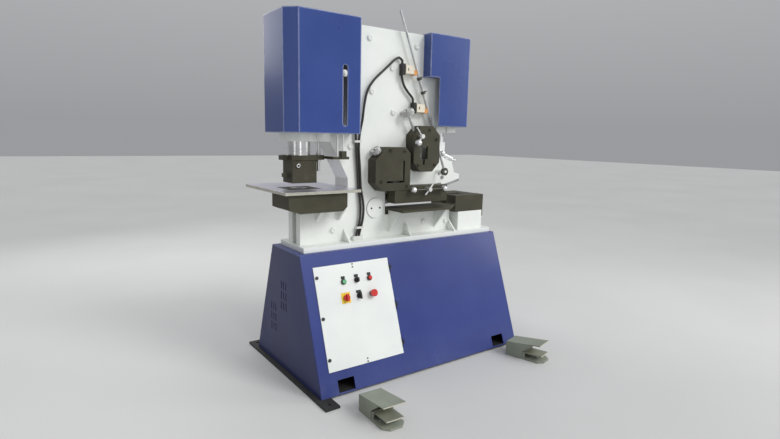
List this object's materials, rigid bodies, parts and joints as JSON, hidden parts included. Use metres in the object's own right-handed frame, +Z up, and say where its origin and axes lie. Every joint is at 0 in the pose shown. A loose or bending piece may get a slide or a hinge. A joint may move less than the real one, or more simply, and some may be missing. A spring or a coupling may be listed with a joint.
{
  "type": "hydraulic ironworker",
  "caption": "Hydraulic ironworker on a sloped cabinet, with a punch station, section and flat shears, a notcher, sheet covers, a control door and foot switches.",
  "frame": {"origin": "on the floor under the middle of the cabinet, centre of the anchor holes", "axes": "+X along the machine from the punch end to the notcher end, +Y from the operator side to the back, +Z up"},
  "size_m": [1.535, 1.3161, 2.0106],
  "materials": {
    "cabinet_blue": "satin paint",
    "frame_white": "gloss paint",
    "cover_blue": "satin paint",
    "door_white": "gloss paint",
    "dark_steel": "dark oiled",
    "tool_steel": "ground",
    "table_steel": "ground",
    "bright_steel": "polished",
    "rod_steel": "drawn",
    "tank_grey": "satin paint",
    "panel_grey": "galvanised",
    "switch_cream": "matte",
    "cable_black": "matte",
    "clip_white": "matte",
    "control_black": "matte",
    "control_green": "gloss",
    "control_red": "gloss",
    "knob_white": "gloss",
    "pedal_grey": "hammer paint",
    "treadle_grey": "hammer paint"
  },
  "bodies": {
    "machine": {"sub_base": "cabinet_blue", "base_front_panel": "cabinet_blue", "base_rear_panel": "cabinet_blue", "base_left_end": "cabinet_blue", "base_right_end": "cabinet_blue", "base_top_plate": "cabinet_blue", "oil_tank": "tank_grey", "electric_motor": "tank_grey", "hydraulic_unit": "tank_grey", "electrical_panel": "panel_grey", "bed_plate": "frame_white", "front_frame_plate": "frame_white", "rear_frame_plate": "frame_white", "frame_spacers": "frame_white", "tie_bolts": "frame_white", "frame_gussets": "frame_white", "punch_cylinder": "frame_white", "punch_table": "table_steel", "die_bolster": "dark_steel", "punch_die": "tool_steel", "left_cover": "cover_blue", "right_cover": "cover_blue", "shear_cylinder": "frame_white", "angle_shear_housing": "dark_steel", "bar_shear_housing": "dark_steel", "flat_shear_clamp": "dark_steel", "flat_lower_blade": "tool_steel", "shear_table": "dark_steel", "notcher_box": "frame_white", "notcher_die": "dark_steel", "limit_switches": "switch_cream", "switch_cables": "cable_black", "cable_clips": "clip_white", "pivot_pin": "frame_white", "foot_switch_housings": "pedal_grey"},
    "door": {"control_door": "door_white", "door_fittings": "control_black"},
    "start_button": {"start_button": "control_green"},
    "stop_button": {"stop_button": "control_red"},
    "mode_selector": {"mode_selector": "control_black"},
    "jog_selector": {"jog_selector": "control_black"},
    "isolator": {"isolator_handle": "control_red"},
    "emergency_stop": {"emergency_stop": "control_red"},
    "ram": {"punch_ram": "bright_steel", "ram_cross_plate": "dark_steel", "guide_rods": "bright_steel", "punch_holder": "dark_steel", "punch_tool": "tool_steel"},
    "stroke_stop": {"stroke_stop_knob": "knob_white"},
    "beam": {"shear_beam": "frame_white", "shear_blades": "tool_steel", "stripper_tube": "rod_steel"},
    "shear_rod": {"shear_rod": "bright_steel"},
    "stroke_rod": {"stroke_rod": "rod_steel"},
    "angle_knob": {"angle_clamp_knob": "bright_steel"},
    "bar_knob": {"bar_clamp_knob": "bright_steel"},
    "bar_lever": {"bar_clamp_lever": "bright_steel"},
    "clamp_handle": {"clamp_handle": "bright_steel"},
    "left_pedal": {"left_pedal": "treadle_grey"},
    "right_pedal": {"right_pedal": "treadle_grey"}
  },
  "joints": [
    {"name": "door_hinge", "type": "hinge", "parent": "machine", "child": "door", "pos_m": [-0.168, -0.28761, 0.37953], "axis": [0, 0.3318, 0.9433], "range_deg": [0, 110]},
    {"name": "start_press", "type": "slide", "parent": "door", "child": "start_button", "axis": [0, 0.9433, -0.3318], "range_m": [0, 0.004], "stiffness_N_per_m": 500, "springref_m": -0.002},
    {"name": "stop_press", "type": "slide", "parent": "door", "child": "stop_button", "axis": [0, 0.9433, -0.3318], "range_m": [0, 0.004], "stiffness_N_per_m": 500, "springref_m": -0.002},
    {"name": "emergency_press", "type": "slide", "parent": "door", "child": "emergency_stop", "axis": [0, 0.9433, -0.3318], "range_m": [0, 0.006]},
    {"name": "mode_turn", "type": "hinge", "parent": "door", "child": "mode_selector", "pos_m": [-0.398, -0.22832, 0.54207], "axis": [0, -0.9433, 0.3318], "range_deg": [-45, 45]},
    {"name": "jog_turn", "type": "hinge", "parent": "door", "child": "jog_selector", "pos_m": [-0.398, -0.25686, 0.46094], "axis": [0, -0.9433, 0.3318], "range_deg": [-45, 45]},
    {"name": "isolator_turn", "type": "hinge", "parent": "door", "child": "isolator", "pos_m": [-0.48, -0.25686, 0.46094], "axis": [0, -0.9433, 0.3318], "range_deg": [-90, 0]},
    {"name": "punch_slide", "type": "slide", "parent": "machine", "child": "ram", "axis": [0, 0, -1], "range_m": [-0.055, 0.022]},
    {"name": "stroke_stop_slide", "type": "slide", "parent": "machine", "child": "stroke_stop", "axis": [0, 0, 1], "range_m": [-0.255, 0.03]},
    {"name": "beam_swing", "type": "hinge", "parent": "machine", "child": "beam", "pos_m": [-0.178, 0, 0.902], "axis": [0, 1, 0], "range_deg": [0, 8]},
    {"name": "shear_rod_slide", "type": "slide", "parent": "machine", "child": "shear_rod", "axis": [0, 0, -1], "range_m": [0, 0.072]},
    {"name": "stroke_rod_slide", "type": "slide", "parent": "machine", "child": "stroke_rod", "axis": [0.3754, 0, -0.9269], "range_m": [0, 0.0755]},
    {"name": "angle_knob_turn", "type": "hinge", "parent": "machine", "child": "angle_knob", "pos_m": [-0.19, -0.11, 1.2165], "axis": [-0.6691, 0, 0.7431], "continuous": true},
    {"name": "bar_knob_turn", "type": "hinge", "parent": "machine", "child": "bar_knob", "pos_m": [0.062, -0.11, 1.351], "axis": [-0.4226, 0, 0.9063], "continuous": true},
    {"name": "bar_lever_turn", "type": "hinge", "parent": "machine", "child": "bar_lever", "pos_m": [0.073, -0.16, 1.317], "axis": [0, 1, 0], "range_deg": [-35, 35]},
    {"name": "clamp_handle_turn", "type": "hinge", "parent": "machine", "child": "clamp_handle", "pos_m": [0.135, -0.16, 1.007], "axis": [0, 1, 0], "range_deg": [-35, 35]},
    {"name": "left_pedal_press", "type": "hinge", "parent": "machine", "child": "left_pedal", "pos_m": [-0.53395, -0.6861, 0.036], "axis": [0.9994, -0.0349, 0], "range_deg": [0, 8], "stiffness_Nm_per_rad": 10, "springref_deg": -8.59},
    {"name": "right_pedal_press", "type": "hinge", "parent": "machine", "child": "right_pedal", "pos_m": [0.60888, -0.59214, 0.036], "axis": [0.9659, 0.2588, 0], "range_deg": [0, 8], "stiffness_Nm_per_rad": 10, "springref_deg": -8.59}
  ],
  "couplings": [
    {"joint": "shear_rod_slide", "follows": "beam_swing", "m_per_rad": 0.508},
    {"joint": "stroke_rod_slide", "follows": "beam_swing", "m_per_rad": 0.5355}
  ]
}
